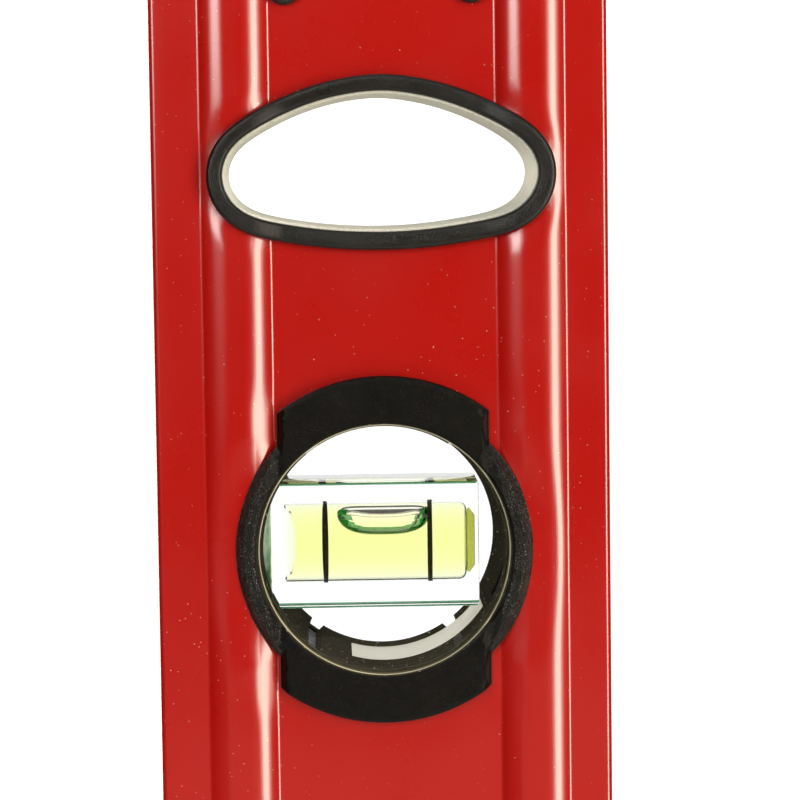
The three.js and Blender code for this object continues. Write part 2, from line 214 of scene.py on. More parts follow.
def lacquer():
    mt = Mat("red_lacquer").set(Coat_Weight=1.0, Coat_Roughness=0.15, Coat_IOR=1.62, IOR=1.5, Specular_IOR_Level=0.20)
    big = mt.noise(9, 3)
    tone = mt.ramp(big, [(0.3, (0.284, 0.0022, 0.0005)), (0.7, (0.308, 0.0029, 0.0008))])
    where = mt.ramp(mt.noise(26, 2), [(0.45, 0.25), (0.62, 1.0)])
    dust = specks(mt, 1050, 0.075, 0.62)
    dust2 = specks(mt, 420, 0.036, 0.40)
    d = mt.math("MAXIMUM", mt.math("MULTIPLY", mt.math("MULTIPLY", dust, 0.5), where), mt.math("MULTIPLY", dust2, 0.42))
    mt.color(mt.mix(d, tone, (0.75, 0.52, 0.45)))
    r = mt.ramp(mt.noise(70, 4), [(0.35, 0.26), (0.7, 0.36)])
    mt.rough(r)
    fine = mt.noise(2600, 2)
    peel = mt.noise(520, 2)
    n = mt.bump(fine, 0.24, 0.00004)
    n = mt.bump(peel, 0.12, 0.00010, n)
    mt.normal(n)
    return mt.m


def black_plastic(name, grain, base=0.0045, rough=0.42, spec=0.35, dust=0.0, cell=3900, scuff=0.0, painted_glints=0.0):
    mt = Mat(name).set(IOR=1.5, Specular_IOR_Level=spec)
    tone = mt.ramp(mt.noise(60, 4), [(0.3, (base * 0.95, base * 0.78, base * 0.52)), (0.7, (base * 1.5, base * 1.25, base * 0.85))])
    if dust:
        grit = mt.math("MAXIMUM", specks(mt, 760, 0.085 + 0.06 * dust, dust), specks(mt, 330, 0.030 + 0.06 * dust, dust * 0.8))
        if dust > 0.5:
            grit = mt.math("MAXIMUM", grit, mt.math("MULTIPLY", specks(mt, 1500, 0.15, 0.8), 0.6))
        tone = mt.mix(mt.math("MULTIPLY", grit, 0.8), tone, (0.42, 0.39, 0.30))
    if scuff:
        streaks = mt.ramp(mt.noise(1, 3, 0.6, (1500, 1500, 110)), [(0.55, 0.0), (0.75, 1.0)])
        worn = mt.ramp(mt.noise(75, 2), [(0.45, 0.0), (0.65, 1.0)])
        tone = mt.mix(mt.math("MULTIPLY", mt.math("MULTIPLY", streaks, worn), scuff), tone, (0.036, 0.033, 0.028))
    cells = mt.voronoi(cell, "DISTANCE_TO_EDGE")
    if painted_glints:
        # painted highlight: the tops of the grain are painted a little lighter in patches, as glints on the grain
        top = mt.ramp(cells.outputs["Distance"], [(0.18, 0.0), (0.38, 1.0)])
        glint_patches = mt.ramp(mt.noise(420, 2), [(0.40, 0.15), (0.62, 1.0)])
        tone = mt.mix(mt.math("MULTIPLY", mt.math("MULTIPLY", top, glint_patches), painted_glints), tone, (0.075, 0.070, 0.060))
    mt.color(tone)
    mt.rough(mt.ramp(mt.noise(200, 3), [(0.3, rough - 0.06), (0.7, rough + 0.08)]))
    leather = mt.ramp(cells.outputs["Distance"], [(0.0, 0.0), (0.22, 1.0)])
    n = mt.bump(leather, grain, 0.00007)
    n = mt.bump(mt.noise(1500, 2), 0.08, 0.00004, n)
    mt.normal(n)
    return mt.m


def pale_plastic():
    mt = Mat("pale_plastic").set(IOR=1.5)
    tone = mt.ramp(mt.noise(45, 4), [(0.3, (0.54, 0.535, 0.465)), (0.7, (0.62, 0.61, 0.54))])
    sand = mt.ramp(mt.noise(2400, 2), [(0.50, 0.0), (0.72, 0.6)])
    mt.color(mt.mix(sand, tone, (0.34, 0.33, 0.28)))
    mt.rough(mt.ramp(mt.noise(150, 2), [(0.3, 0.45), (0.7, 0.6)]))
    mt.normal(mt.bump(mt.noise(700, 3), 0.15, 0.00006))
    return mt.m


def clear(name, color, ior, rough=0.0, scratch=0.0, alpha_noise=None):
    mt = Mat(name).set(Roughness=rough, IOR=ior, Transmission_Weight=1.0)
    a, b = color
    mt.color(mt.ramp(mt.noise(60, 2), [(0.3, a), (0.7, b)]))
    if scratch:
        mt.normal(mt.bump(mt.noise(260, 4, 0.7), scratch, 0.00003))
    return mt.m


RED = lacquer()
# the ninth argument of the next three black plastics paints glints on the tops of their grain: a painted highlight
BLACK_GRAIN = black_plastic("black_grain", 1.0, 0.0024, 0.33, 0.27, 0.03, 3300, 0.0, 0.85)
BLACK_RIM = black_plastic("black_rim", 0.25, 0.0028, 0.32, 0.30, 0.04, 3600, 0.06, 0.10)
BLACK_SMOOTH = black_plastic("black_smooth", 0.25, 0.0018, 0.40, 0.09, 0.03, 3400, 0.06, 0.14)
# inner wall of each vial surround: black plastic with a brighter olive base and a faint warm glow, painted light for
# the light reaching it through the vial; its specks are dust
BLACK_WALL = black_plastic("black_wall", 0.3, 0.028, 0.55, 0.0, 0.85)
BLACK_WALL.node_tree.nodes["Principled BSDF"].inputs["Emission Color"].default_value = (1.0, 0.92, 0.55, 1)
BLACK_WALL.node_tree.nodes["Principled BSDF"].inputs["Emission Strength"].default_value = 0.014
BLACK_CAP = black_plastic("black_cap", 0.30, 0.0060, 0.5, 0.3)
PALE = pale_plastic()
LENS = clear("lens_clear", ((0.994, 1.0, 0.994), (1.0, 1.0, 1.0)), 1.49, scratch=0.01)
BLOCK = clear("block_clear", ((0.992, 1.0, 0.992), (0.998, 1.0, 0.998)), 1.49, scratch=0.01)
FLUID = clear("fluid", ((0.985, 1.0, 0.93), (0.99, 1.0, 0.96)), 0.962)


def dyed(mat, color, density):
    """Dye through the depth of a clear material."""
    nt = mat.node_tree
    ab = nt.nodes.new("ShaderNodeVolumeAbsorption")
    ab.inputs["Color"].default_value = (*color, 1)
    ab.inputs["Density"].default_value = density
    nt.links.new(ab.outputs[0], next(n for n in nt.nodes if n.type == "OUTPUT_MATERIAL").inputs["Volume"])


dyed(FLUID, (0.98, 1.0, 0.0), 86.0)
PLUG = clear("plug_clear", ((0.40, 0.44, 0.06), (0.52, 0.55, 0.10)), 0.99, scratch=0.1)
# painted shade: dark green glass for the dark lines along the clear blocks' long edges
GREEN_EDGE = clear("green_edge", ((0.008, 0.07, 0.02), (0.02, 0.12, 0.04)), 1.49, rough=0.05)


def green_frost():
    """The block's cut end: milky, with dark green patches along its length. It glows in the same colours, a painted
    light.
    """
    mt = Mat("green_frost").set(IOR=1.49, Transmission_Weight=1.0, Roughness=0.3, Emission_Strength=0.22)
    patch = mt.ramp(mt.noise(1, 3, 0.6, (700, 260, 240)), [(0.36, (0.03, 0.12, 0.03)), (0.46, (0.34, 0.50, 0.28)), (0.60, (0.78, 0.88, 0.72))])
    mt.color(patch)
    mt.link(patch, mt.bsdf.inputs["Emission Color"])
    mt.normal(mt.bump(mt.noise(260, 4, 0.7), 0.6, 0.00003))
    return mt.m


GREEN_FROST = green_frost()
# painted shade: the bubble's sides and underside take a dark green glass, for the dark rim a bubble shows in its bore
BUBBLE_RIM_SHADE = clear("bubble_rim", ((0.010, 0.125, 0.024), (0.030, 0.20, 0.045)), 0.95)
BUBBLE = clear("bubble", ((1.0, 0.99, 0.99), (1.0, 1.0, 1.0)), 0.70)
# painted light: the air bubble glows faintly pinkish white
BUBBLE.node_tree.nodes["Principled BSDF"].inputs["Emission Color"].default_value = (1.0, 0.92, 1.0, 1)
BUBBLE.node_tree.nodes["Principled BSDF"].inputs["Emission Strength"].default_value = 0.075
MARK = black_plastic("marker_black", 0.02, 0.006, 0.5, 0.2)
# painted light: the marker lines glow faintly olive-yellow
MARK.node_tree.nodes["Principled BSDF"].inputs["Emission Color"].default_value = (1.0, 0.92, 0.30, 1)
MARK.node_tree.nodes["Principled BSDF"].inputs["Emission Strength"].default_value = 0.010
# the lens edges are drawn opaque: a beige face that is a painted highlight for light caught in the clear polished edge,
# and a dull olive inner band that is painted shade
EDGE = black_plastic("lens_edge", 0.05, 0.36, 0.36, 0.3)
EDGE.node_tree.nodes["Color Ramp"].color_ramp.elements[0].color = (0.42, 0.40, 0.28, 1)
EDGE.node_tree.nodes["Color Ramp"].color_ramp.elements[1].color = (0.56, 0.53, 0.39, 1)
EDGE_IN = black_plastic("lens_edge_inner", 0.05, 0.36, 0.75, 0.03)
EDGE_IN.node_tree.nodes["Color Ramp"].color_ramp.elements[0].color = (0.10, 0.092, 0.050, 1)
EDGE_IN.node_tree.nodes["Color Ramp"].color_ramp.elements[1].color = (0.19, 0.175, 0.105, 1)
# a brighter copy of the pale plastic that also glows warm, for the pale strip behind each vial: painted light
LIT_STRIP = pale_plastic()
LIT_STRIP.node_tree.nodes["Color Ramp"].color_ramp.elements[0].color = (0.90, 0.88, 0.78, 1)
LIT_STRIP.node_tree.nodes["Color Ramp"].color_ramp.elements[1].color = (0.96, 0.95, 0.87, 1)
LIT_STRIP.node_tree.nodes["Principled BSDF"].inputs["Emission Color"].default_value = (1.0, 0.95, 0.76, 1)
LIT_STRIP.node_tree.nodes["Principled BSDF"].inputs["Emission Strength"].default_value = 0.36

# ---- mesh helpers ------------------------------------------------------------------------------------------------
def obj_from(name, verts, faces, mat, smooth=40.0):
    me = bpy.data.meshes.new(name)
    me.from_pydata([tuple(c * MM for c in v) for v in verts], [], faces)
    me.update()
    bm = bmesh.new()
    bm.from_mesh(me)
    bmesh.ops.remove_doubles(bm, verts=bm.verts, dist=1e-7)
    bmesh.ops.recalc_face_normals(bm, faces=bm.faces)
    bm.to_mesh(me)
    bm.free()
    me.materials.append(mat)
    ob = bpy.data.objects.new(name, me)
    scene.collection.objects.link(ob)
    if smooth:
        for p in me.polygons:
            p.use_smooth = True
        me.set_sharp_from_angle(angle=math.radians(smooth))
    return ob


def put(ob, slot, *nodes, body="frame"):
    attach(ob, body)
    if nodes:
        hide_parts(*nodes)
    return ob


def loft(rings, closed_path=True, closed_section=True, cap=False):
    """Faces between successive rings of points."""
    n, k = len(rings), len(rings[0])
    verts = [p for r in rings for p in r]
    faces = []
    for i in range(n if closed_path else n - 1):
        j = (i + 1) % n
        for a in range(k if closed_section else k - 1):
            b = (a + 1) % k
            faces.append((i * k + a, i * k + b, j * k + b, j * k + a))
    if cap:
        faces.append(tuple(range(k)))
        faces.append(tuple((n - 1) * k + a for a in range(k)))
    return verts, faces


def lathe(profile, n, axis="y", at=(0, 0, 0)):
    """Solid of revolution from (radius, along) pairs that start and end on the axis or close on themselves."""
    closed = profile[0] == profile[-1]
    prof = profile[:-1] if closed else profile
    rings = []
    for i in range(n):
        a = 2 * math.pi * i / n
        c, s = math.cos(a), math.sin(a)
        ring = []
        for r, t in prof:
            p = {"x": (t, r * c, r * s), "y": (r * c, t, r * s), "z": (r * c, r * s, t)}[axis]
            ring.append(tuple(p[k] + at[k] for k in range(3)))
        rings.append(ring)
    return loft(rings, True, closed)


def arc(cx, cy, r, a0, a1, n):
    return [(cx + r * math.cos(math.radians(a0 + (a1 - a0) * i / n)), cy + r * math.sin(math.radians(a0 + (a1 - a0) * i / n))) for i in range(n + 1)]


def fillet_poly(pts, radii, n=5):
    """Rounds the corners of a closed polygon."""
    out = []
    m = len(pts)
    for i, p in enumerate(pts):
        r = radii[i] if isinstance(radii, (list, tuple)) else radii
        if r <= 0:
            out.append(p)
            continue
        a, b = pts[i - 1], pts[(i + 1) % m]
        va, vb = Vector((a[0] - p[0], a[1] - p[1])), Vector((b[0] - p[0], b[1] - p[1]))
        la, lb = va.length, vb.length
        va.normalize(); vb.normalize()
        ang = va.angle(vb)
        t = min(r / math.tan(ang / 2), la * 0.48, lb * 0.48)
        rr = t * math.tan(ang / 2)
        bis = (va + vb).normalized()
        c = Vector(p) + bis * (rr / math.sin(ang / 2))
        s, e = Vector(p) + va * t - c, Vector(p) + vb * t - c
        a0, a1 = math.atan2(s.y, s.x), math.atan2(e.y, e.x)
        da = (a1 - a0 + math.pi) % (2 * math.pi) - math.pi
        for k in range(n + 1):
            q = a0 + da * k / n
            out.append((c.x + rr * math.cos(q), c.y + rr * math.sin(q)))
    return out


def smoothstep(a, b, x):
    t = max(0.0, min(1.0, (x - a) / (b - a)))
    return t * t * (3 - 2 * t)

# ---- the section of the profile ----------------------------------------------------------------------------------
FIL = 0.85
def flank(crease, base, sign, n=18):
    """Points (x, half thickness) of a ridge flank from its crease to the flat top: a small concave fillet, then a convex arc.
    sign +1 rises towards +x."""
    drop = RIDGE - base
    th = math.acos(1 - drop / (ARC_R + FIL))
    pts = []
    for i in range(7):
        a = th * i / 6
        pts.append((crease + sign * FIL * math.sin(a), base + FIL * (1 - math.cos(a))))
    w = (ARC_R + FIL) * math.sin(th)
    top = crease + sign * w
    for i in range(1, n + 1):
        a = th * (1 - i / n)
        pts.append((top - sign * ARC_R * math.sin(a), RIDGE - ARC_R * (1 - math.cos(a))))
    return pts


def half_section():
    """(x, half thickness) from the centre line out to the corner, x > 0."""
    inner = flank(IN_CREASE, WEB, 1)
    outer = flank(OUT_CREASE, RAIL, -1)[::-1]
    corner = [(HALF_H - 0.8 + 0.8 * math.sin(math.radians(a)), RAIL - 0.8 + 0.8 * math.cos(math.radians(a))) for a in range(0, 91, 10)]
    return inner + outer + corner


SECTION = half_section()


def slid(x):
    """How far the ridges lie off the centre line at x; nothing at the outer corners."""
    return SHIFT * max(0.0, min(1.0, (HALF_H - 1.5 - abs(x)) / 3.0))


def relief(x):
    """Half thickness of the profile at x."""
    a = abs(x - slid(x))
    if a <= SECTION[0][0]:
        return WEB
    for (x0, y0), (x1, y1) in zip(SECTION, SECTION[1:]):
        if x0 <= a <= x1 and x1 > x0:
            return y0 + (y1 - y0) * (a - x0) / (x1 - x0)
    return RAIL


def relief_normal(x):
    """Outward normal (nx, ny) of the front face's relief at x, as if it faced +y."""
    e = 0.02
    s = (relief(x + e) - relief(x - e)) / (2 * e)
    l = math.hypot(s, 1)
    return -s / l, 1 / l

# ---- hang hole outline ---------------------------------------------------------------------------------------------
HOLE_RING = [
    (20.89, -0.55), (20.17, 1.20), (18.80, 2.74), (16.88, 3.95), (15.18, 4.94), (13.62, 5.75), (12.18, 6.42),
    (10.85, 6.96), (9.62, 7.40), (8.49, 7.79), (7.43, 8.11), (6.42, 8.36), (5.46, 8.56), (4.55, 8.75), (3.68, 8.91),
    (2.81, 9.03), (1.97, 9.12), (1.14, 9.24), (0.31, 9.29), (-0.53, 9.26), (-1.37, 9.20), (-2.21, 9.09), (-3.07, 9.00),
    (-3.95, 8.86), (-4.88, 8.72), (-5.83, 8.51), (-6.84, 8.28), (-7.91, 7.99), (-9.04, 7.64), (-10.26, 7.20),
    (-11.57, 6.68), (-12.99, 6.04), (-14.53, 5.27), (-16.21, 4.32), (-18.18, 3.19), (-19.75, 1.72), (-20.61, -0.01),
    (-20.85, -1.84), (-20.51, -3.64), (-19.55, -5.27), (-18.06, -6.63), (-15.84, -7.47), (-13.53, -7.93), (-11.62, -8.28),
    (-9.99, -8.56), (-8.55, -8.75), (-7.27, -8.89), (-6.15, -9.03), (-5.09, -9.10), (-4.13, -9.17), (-3.22, -9.20),
    (-2.36, -9.21), (-1.54, -9.27), (-0.74, -9.29), (0.05, -9.27), (0.84, -9.28), (1.64, -9.25), (2.46, -9.25),
    (3.31, -9.23), (4.19, -9.16), (5.12, -9.09), (6.13, -9.01), (7.25, -8.91), (8.45, -8.75), (9.81, -8.55),
    (11.37, -8.31), (13.19, -7.99), (15.40, -7.60), (17.67, -6.88), (19.34, -5.67), (20.41, -4.11), (20.92, -2.36),
]

def closed_curve(ctrl, n):
    """Even samples of a closed Catmull-Rom curve."""
    m = len(ctrl)
    dense = []
    for i in range(m):
        p0, p1, p2, p3 = (Vector(ctrl[(i + k - 1) % m]) for k in range(4))
        for j in range(24):
            t = j / 24
            dense.append(0.5 * ((2 * p1) + (p2 - p0) * t + (2 * p0 - 5 * p1 + 4 * p2 - p3) * t * t + (3 * p1 - p0 - 3 * p2 + p3) * t ** 3))
    acc = [0.0]
    for a, b in zip(dense, dense[1:] + dense[:1]):
        acc.append(acc[-1] + (b - a).length)
    out, k = [], 0
    for i in range(n):
        s = acc[-1] * i / n
        while acc[k + 1] < s:
            k += 1
        t = (s - acc[k]) / (acc[k + 1] - acc[k])
        out.append(dense[k].lerp(dense[(k + 1) % len(dense)], t))
    return out


def smooth_loop(pts, times):
    for _ in range(times):
        pts = [(pts[i - 1] + pts[i] * 2 + pts[(i + 1) % len(pts)]) / 4 for i in range(len(pts))]
    return pts


HOLE = smooth_loop(closed_curve(HOLE_RING, 288), 60)
def loop_normals(pts):
    out = []
    for i in range(len(pts)):
        t = (pts[(i + 1) % len(pts)] - pts[i - 1]).normalized()
        out.append(Vector((t.y, -t.x)))
    if sum((p.dot(n) for p, n in zip(pts, out))) < 0:
        out = [-n for n in out]
    return out
HOLE_N = loop_normals(HOLE)
HOLE_C = {"upper": (cad("upper_hole_sleeve")[0][2] + 9.4 + 1.5, 1), "lower": (cad("lower_hole_sleeve")[1][2] - 9.4 - 1.5, -1)}


def rim_width(n):
    return 2.26 + 0.14 * n.x - 0.12 * n.y

# ---- plumb surround outline -----------------------------------------------------------------------------------------
RING_R, SHOULDER_R, SHOULDER_X, LIP_R = 19.8, 23.0, 14.0, 16.7
def surround_radius(t):
    c = abs(math.cos(t))
    r = RING_R
    if c < 1e-6 or SHOULDER_X / c > RING_R:
        r = min(SHOULDER_R, SHOULDER_X / c if c > 1e-6 else SHOULDER_R)
    return max(RING_R, r)


def surround_angles():
    """Angles round the surround, with extra ones at the corners of its outline."""
    a1 = math.acos(SHOULDER_X / RING_R)
    a2 = math.acos(SHOULDER_X / SHOULDER_R)
    keys = []
    for q in range(4):
        for a in (a1, a2):
            t = {0: a, 1: math.pi - a, 2: math.pi + a, 3: 2 * math.pi - a}[q]
            keys += [t - 0.012, t, t + 0.012]
    for x in (13.15, 13.75):
        for r in (RING_R, LIP_R + 1.6):
            a = math.acos(x / r)
            keys += [a, math.pi - a, math.pi + a, 2 * math.pi - a]
    base = [2 * math.pi * i / 300 for i in range(300)]
    base = [b for b in base if all(abs(b - k) > 0.02 for k in keys)]
    return sorted(base + keys)

# ---- red profile ------------------------------------------------------------------------------------------------------
def loop_distance(x, z, loop):
    """Signed distance from points to a closed loop, positive outside (numpy)."""
    p = np.array([[q[0], q[1]] for q in loop])
    n = np.roll(p, -1, 0)
    best = np.full(x.shape, 1e9)
    inside = np.zeros(x.shape, bool)
    for (ax, az), (bx, bz) in zip(p, n):
        dx, dz = bx - ax, bz - az
        t = np.clip(((x - ax) * dx + (z - az) * dz) / (dx * dx + dz * dz), 0, 1)
        best = np.minimum(best, (x - ax - t * dx) ** 2 + (z - az - t * dz) ** 2)
        cross = (az > z) != (bz > z)
        inside ^= cross & (x < dx * (z - az) / (dz if dz else 1e-9) + ax)
    d = np.sqrt(best)
    return np.where(inside, -d, d)


def openings():
    """Outlines of what covers each opening: (loop, depth of the pressed-in zone, its width)."""
    out = []
    for end in ("upper", "lower"):
        zc, s = HOLE_C[end]
        out.append(([(p.x + n.x * rim_width(n), zc + s * (p.y + n.y * rim_width(n))) for p, n in list(zip(HOLE, HOLE_N))[::4]], 0.22, 1.7))
        zc = PLUMB_Z[end]
        out.append(([(surround_radius(t) * math.cos(t), zc + surround_radius(t) * math.sin(t)) for t in surround_angles()[::3]], 0.42, 3.4))
    out.append((rounded_rect(13, 33, 9, 6, LEVEL_X, LEVEL_Z), 0.3, 2.4))
    return out


SEC_X = np.array([p[0] for p in SECTION])
SEC_Y = np.array([p[1] for p in SECTION])


def face_height(x, z, rings):
    """Half thickness of the profile over the face, with the lacquered wall drawn in a little round each opening."""
    h = np.interp(np.abs(x - SHIFT * np.clip((HALF_H - 1.5 - np.abs(x)) / 3.0, 0, 1)), SEC_X, SEC_Y)
    drop = np.zeros(x.shape)
    for loop, depth, width in rings:
        d = np.maximum(loop_distance(x, z, loop), 0)
        drop = np.maximum(drop, depth * np.exp(-(d / width) ** 2))
    raised = np.clip((h - WEB + 0.25) / (RIDGE - WEB), 0, 1)
    edge = np.clip((HALF_H - 1.2 - np.abs(x)) / 2.0, 0, 1)
    return h - drop * raised * edge


def build_profile():
    rings = openings()
    q = [SECTION[0]] + [p for a, p in zip(SECTION, SECTION[1:]) if math.hypot(p[0] - a[0], p[1] - a[1]) > 0.02]
    extra = [(x, relief(x)) for x in (2.0, 4.5, 7.0, 9.5, 12.0, 19.5, 20.3, 26.0, 27.8)]
    q = sorted(set(q + extra), key=lambda p: (p[0], -p[1]))
    front = [(-x + slid(x), -y) for x, y in q[::-1]] + [(x + slid(x), -y) for x, y in q]
    outer = front + [(x, -y) for x, y in front[::-1]]
    z0, z1 = PROFILE_Z
    zs, z = [], z0
    near = [(HOLE_C[e][0] - 16, HOLE_C[e][0] + 16) for e in HOLE_C] + [(PLUMB_Z[e] - 31, PLUMB_Z[e] + 31) for e in PLUMB_Z] + [(LEVEL_Z - 38, LEVEL_Z + 38)]
    while z < z1 - 0.6:
        zs.append(z)
        z += 1.1 if any(a < z < b for a, b in near) else 5.0
    zs.append(z1)
    X = np.array([[p[0] for p in outer] for _ in zs])
    Y = np.array([[p[1] for p in outer] for _ in zs])
    Z = np.array([[zz] * len(outer) for zz in zs])
    on_face = (np.abs(X) < HALF_H - 0.85)
    H = face_height(X, Z, rings)
    Y = np.where(on_face, np.sign(Y) * H, Y)
    verts = np.stack([X, Y, Z], -1).reshape(-1, 3).tolist()
    n, rows = len(outer), len(zs)
    faces = [(r * n + i, r * n + (i + 1) % n, (r + 1) * n + (i + 1) % n, (r + 1) * n + i) for r in range(rows - 1) for i in range(n)]
    faces += [tuple(range(n)), tuple((rows - 1) * n + i for i in range(n))]
    body = obj_from("profile_shell", verts, faces, RED, 0)
    wall = 1.8
    qi = [(x, y - wall) for x, y in SECTION if x < HALF_H - 0.85] + [(HALF_H - wall - 0.5, RAIL - wall), (HALF_H - wall, RAIL - wall - 0.5)]
    qi = [p for i, p in enumerate(qi) if i % 3 == 0 or i > len(qi) - 3]
    fi = [(-x, -y) for x, y in qi[::-1]] + [(x, -y) for x, y in qi]
    inner = fi + [(x, -y) for x, y in fi[::-1]]
    def solid(name, lo_ring, hi_ring):
        m = len(lo_ring)
        f = [(i, (i + 1) % m, m + (i + 1) % m, m + i) for i in range(m)] + [tuple(range(m)), tuple(range(m, 2 * m))]
        return obj_from(name, lo_ring + hi_ring, f, RED, 0)
    def prism_y(name, outline):
        return solid(name, [(x, -20, z) for x, z in outline], [(x, 20, z) for x, z in outline])
    cutters = [solid("cut_hollow", [(x, y, z0 - 5) for x, y in inner], [(x, y, z1 + 5) for x, y in inner])]
    for end in ("upper", "lower"):
        zc, s = HOLE_C[end]
        cutters.append(prism_y("cut_hole_" + end, [(p.x + n_.x * 1.6, zc + s * (p.y + n_.y * 1.6)) for p, n_ in list(zip(HOLE, HOLE_N))[::2]]))
        zc = PLUMB_Z[end]
        cutters.append(prism_y("cut_vial_" + end, [((surround_radius(t) - 0.5) * math.cos(t), zc + (surround_radius(t) - 0.5) * math.sin(t)) for t in surround_angles()[::2]]))
    cutters.append(prism_y("cut_level", rounded_rect(12.5, 32.5, 8.5, 8, LEVEL_X, LEVEL_Z)))
    el = cad("level_edge_lens")[1][2] - LEVEL_Z - 2.3 + 0.25
    edge = fillet_poly([(-6.55, LEVEL_Z - el), (6.55, LEVEL_Z - el), (6.55, LEVEL_Z + el), (-6.55, LEVEL_Z + el)], 1.5, 6)
    cutters.append(solid("cut_edge", [(HALF_H - 4, y, z) for y, z in edge], [(HALF_H + 4, y, z) for y, z in edge]))
    for c in cutters:
        md = body.modifiers.new("cut", "BOOLEAN")
        md.operation, md.solver, md.object = "DIFFERENCE", "EXACT", c
    dg = bpy.context.evaluated_depsgraph_get()
    me = bpy.data.meshes.new_from_object(body.evaluated_get(dg))
    body.modifiers.clear()
    body.data = me
    for c in cutters:
        bpy.data.objects.remove(c)
    for p in me.polygons:
        p.use_smooth = True
    me.set_sharp_from_angle(angle=math.radians(28))
    # exact normals on the two ribbed faces, so that the strips shade as smooth curves
    nl = len(me.loops)
    normals = np.zeros(nl * 3)
    me.corner_normals.foreach_get("vector", normals)
    normals = normals.reshape(-1, 3)
    vi = np.zeros(nl, int)
    me.loops.foreach_get("vertex_index", vi)
    co = np.zeros(len(me.vertices) * 3)
    me.vertices.foreach_get("co", co)
    co = co.reshape(-1, 3)[vi] / MM
    pn = np.zeros(len(me.polygons) * 3)
    me.polygons.foreach_get("normal", pn)
    tot = np.zeros(len(me.polygons), int)
    me.polygons.foreach_get("loop_total", tot)
    pn = np.repeat(pn.reshape(-1, 3), tot, axis=0)
    pick = (np.abs(pn[:, 1]) > 0.4) & (np.abs(co[:, 1]) > WEB - 0.7) & (np.abs(co[:, 0]) < HALF_H - 0.85) & (pn[:, 1] * co[:, 1] > 0)
    x, z = co[pick, 0], co[pick, 2]
    e = 0.03
    hx = (face_height(x + e, z, rings) - face_height(x - e, z, rings)) / (2 * e)
    hz = (face_height(x, z + 0.2, rings) - face_height(x, z - 0.2, rings)) / 0.4
    nn = np.stack([-hx, np.sign(co[pick, 1]), -hz], -1)
    nn /= np.linalg.norm(nn, axis=1, keepdims=True)
    normals[pick] = nn
    me.normals_split_custom_set(normals.tolist())
    return put(body, "lacquer", "profile")


def rounded_rect(hx, hy, r, n, cx, cy):
    out = []
    for sx, sy, a0 in ((1, 1, 0), (-1, 1, 90), (-1, -1, 180), (1, -1, 270)):
        for i in range(n + 1):
            a = math.radians(a0 + 90 * i / n)
            out.append((cx + sx * (hx - r) + r * math.cos(a), cy + sy * (hy - r) + r * math.sin(a)))
    return out

# ---- hang hole rims and sleeves ----------------------------------------------------------------------------------------
def build_hole(end):
    zc, s = HOLE_C[end]
    proud = RIM_Y - RIDGE
    for face, sy in (("front", -1), ("back", 1)):
        rings = []
        for p, n in zip(HOLE, HOLE_N):
            w = rim_width(n)
            ring = []
            mid_x = p.x + n.x * w / 2
            # the top of the bead hardly dips between the ridges; its foot follows them
            step = smoothstep(12.6, 17.6, abs(mid_x - SHIFT))
            crest = RIDGE + proud * (0.62 + 0.38 * step) - 0.55 * (1 - step)
            def at(d, y):
                q = p + n * d
                ring.append((q.x, sy * y, zc + s * q.y))
            foot = relief(p.x + n.x * w)
            at(w - 0.05, foot - 1.4)
            at(w, foot + 0.05)
            for d, y in arc(w - 0.62, crest - 0.62, 0.62, 8, 82, 7):
                at(d, max(y, foot + 0.06) if d > w - 0.02 else y)
            at(w * 0.58, crest - 0.01)
            at(w * 0.42, crest - 0.05)
            for d, y in arc(0.55, crest - 0.62, 0.55, 95, 176, 6):
                at(d, y)
            at(0.0, crest - 1.3)
            at(0.0, 8.2)
            at(1.5, 8.2)
            rings.append(ring)
        v, f = loft(rings)
        put(obj_from(f"{end}_hole_{face}_bead", v, f, BLACK_RIM, 50), "black_plastic", f"{end}_hole_{face}_rim")
    rings = []
    for p, n in zip(HOLE, HOLE_N):
        ring = []
        over = 0.10 + 0.32 * abs(n.y) ** 1.5
        step = smoothstep(12.6, 17.6, abs(p.x - SHIFT))
        lip = RIDGE - 0.75 * (1 - step) - 0.45
        for d, y in ((-over + 0.1, -lip), (-over - 0.02, -lip + 0.5), (-over - 0.08, -7.0), (-over - 0.08, 7.0), (-over - 0.02, lip - 0.5), (-over + 0.1, lip), (-0.02, lip), (-0.02, 7.9), (1.0, 7.9),
                     (1.0, -7.9), (-0.02, -7.9), (-0.02, -lip)):
            q = p + n * d
            ring.append((q.x, y, zc + s * q.y))
        rings.append(ring)
    v, f = loft(rings)
    put(obj_from(f"{end}_hole_liner", v, f, PALE, 40), "pale_plastic", f"{end}_hole_sleeve")

